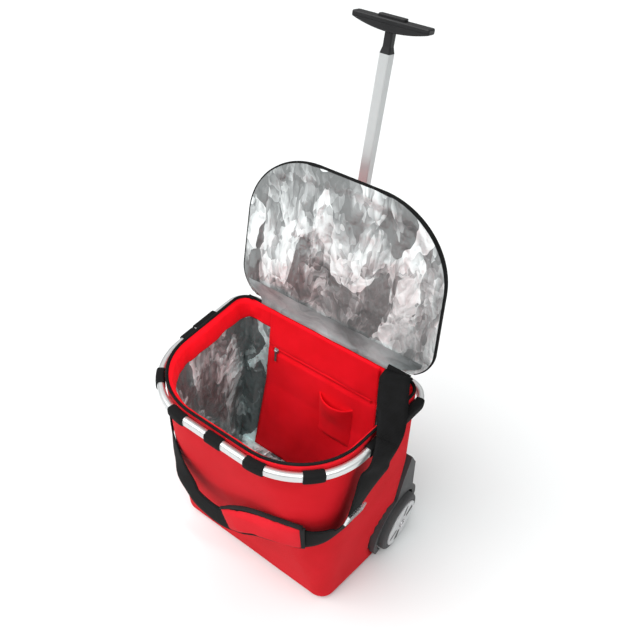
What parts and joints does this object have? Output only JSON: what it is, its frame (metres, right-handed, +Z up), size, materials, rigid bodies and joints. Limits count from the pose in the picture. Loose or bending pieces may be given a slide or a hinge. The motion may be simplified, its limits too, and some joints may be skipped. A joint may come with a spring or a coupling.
{
  "type": "insulated trolley basket",
  "caption": "Soft insulated shopping basket on wheels with a foil-lined compartment, hinged zip lid, aluminium rim hoop, shoulder strap and telescopic pull handle.",
  "frame": {"origin": "middle of the bounding box on the floor", "axes": "+Z up, -Y towards the front wall, +X to the right seen from the front's back side"},
  "size_m": [0.4476, 0.3872, 0.9629],
  "materials": {
    "red_fabric": "woven polyester",
    "foam": "closed-cell insulating foam",
    "silver_foil": "crinkled metallised film",
    "grey_binding": "woven binding",
    "black_fabric": "woven tape",
    "black_webbing": "ribbed webbing",
    "board": "moulded board",
    "black_rubber": "matt rubber",
    "hoop_aluminium": "satin anodised",
    "tube_aluminium": "satin anodised",
    "black_plastic": "fine texture",
    "grey_plastic": "fine texture",
    "tyre_rubber": "matt",
    "hub_plastic": "silver paint",
    "bright_steel": "plated"
  },
  "bodies": {
    "bag": {"outer_shell": "red_fabric", "facing_band": "red_fabric", "back_panel": "red_fabric", "slip_pocket": "red_fabric", "shoulder_pad": "red_fabric", "insulation": "foam", "foil_liner": "silver_foil", "lid_hinge_strip": "grey_binding", "rim_zip_tape": "black_fabric", "frame_loops": "black_fabric", "hinge_end_tabs": "black_fabric", "pocket_zip_tape": "black_fabric", "strap_anchors": "black_webbing", "strap_left": "black_webbing", "strap_right": "black_webbing", "strap_arch": "black_webbing", "floor_board": "board", "base_frame": "board", "front_feet": "black_rubber", "frame_tube": "hoop_aluminium", "handle_outer_tube": "tube_aluminium", "frame_joiner": "black_plastic", "handle_bracket": "black_plastic", "wheel_housing_left": "grey_plastic", "wheel_housing_right": "grey_plastic", "chassis_beam": "grey_plastic", "chassis_back_plate": "grey_plastic", "axle_washers": "grey_plastic", "axle": "bright_steel", "axle_caps": "bright_steel", "strap_buckle": "bright_steel", "rim_zip_slider": "bright_steel", "bracket_screws": "bright_steel"},
    "lid": {"lid_cover": "red_fabric", "lid_foam": "foam", "lid_foil": "silver_foil", "lid_zip_tape": "black_fabric"},
    "handle_middle": {"middle_tube": "tube_aluminium", "middle_collar": "black_plastic", "middle_plug": "black_plastic", "middle_lock_pins": "bright_steel"},
    "handle_inner": {"inner_tube": "tube_aluminium", "inner_plug": "black_plastic", "inner_lock_pins": "bright_steel", "grip_lower": "black_plastic", "grip_upper": "black_plastic", "grip_screws": "bright_steel", "button_spring": "bright_steel"},
    "button": {"release_button": "black_plastic", "push_rod": "bright_steel"},
    "wheel_left": {"tyre_left": "tyre_rubber", "hub_left": "hub_plastic", "bush_left": "hub_plastic"},
    "wheel_right": {"tyre_right": "tyre_rubber", "hub_right": "hub_plastic", "bush_right": "hub_plastic"},
    "pocket_slider": {"pocket_zip_slider": "bright_steel"},
    "pocket_pull": {"pocket_zip_pull": "bright_steel"},
    "rim_pull": {"rim_zip_pull": "bright_steel"}
  },
  "joints": [
    {"name": "lid_hinge", "type": "hinge", "parent": "bag", "child": "lid", "pos_m": [0, 0.10819, 0.4465], "axis": [1, 0, 0], "range_deg": [0, 91.6], "deforming": ["strap_arch"]},
    {"name": "handle_middle_slide", "type": "slide", "parent": "bag", "child": "handle_middle", "axis": [0, 0.0797, 0.9968], "range_m": [-0.222, 0]},
    {"name": "handle_inner_slide", "type": "slide", "parent": "handle_middle", "child": "handle_inner", "axis": [0, 0.0797, 0.9968], "range_m": [-0.24, 0]},
    {"name": "release_button_press", "type": "slide", "parent": "handle_inner", "child": "button", "axis": [0, 0.0797, 0.9968], "range_m": [-0.003, 0], "stiffness_N_per_m": 800, "springref_m": 0.003, "deforming": ["button_spring"]},
    {"name": "wheel_left_spin", "type": "hinge", "parent": "bag", "child": "wheel_left", "pos_m": [-0.219, 0.11219, 0.063], "axis": [1, 0, 0], "continuous": true},
    {"name": "wheel_right_spin", "type": "hinge", "parent": "bag", "child": "wheel_right", "pos_m": [0.219, 0.11219, 0.063], "axis": [1, 0, 0], "continuous": true},
    {"name": "pocket_zip_slide", "type": "slide", "parent": "bag", "child": "pocket_slider", "axis": [1, 0, 0], "range_m": [0, 0.205]},
    {"name": "pocket_pull_swing", "type": "hinge", "parent": "pocket_slider", "child": "pocket_pull", "pos_m": [-0.103, 0.09412, 0.352], "axis": [-1, 0, 0], "range_deg": [0, 110]},
    {"name": "rim_pull_swing", "type": "hinge", "parent": "bag", "child": "rim_pull", "pos_m": [0.144, 0.09331, 0.424], "axis": [-1, 0, 0], "range_deg": [0, 110]}
  ]
}
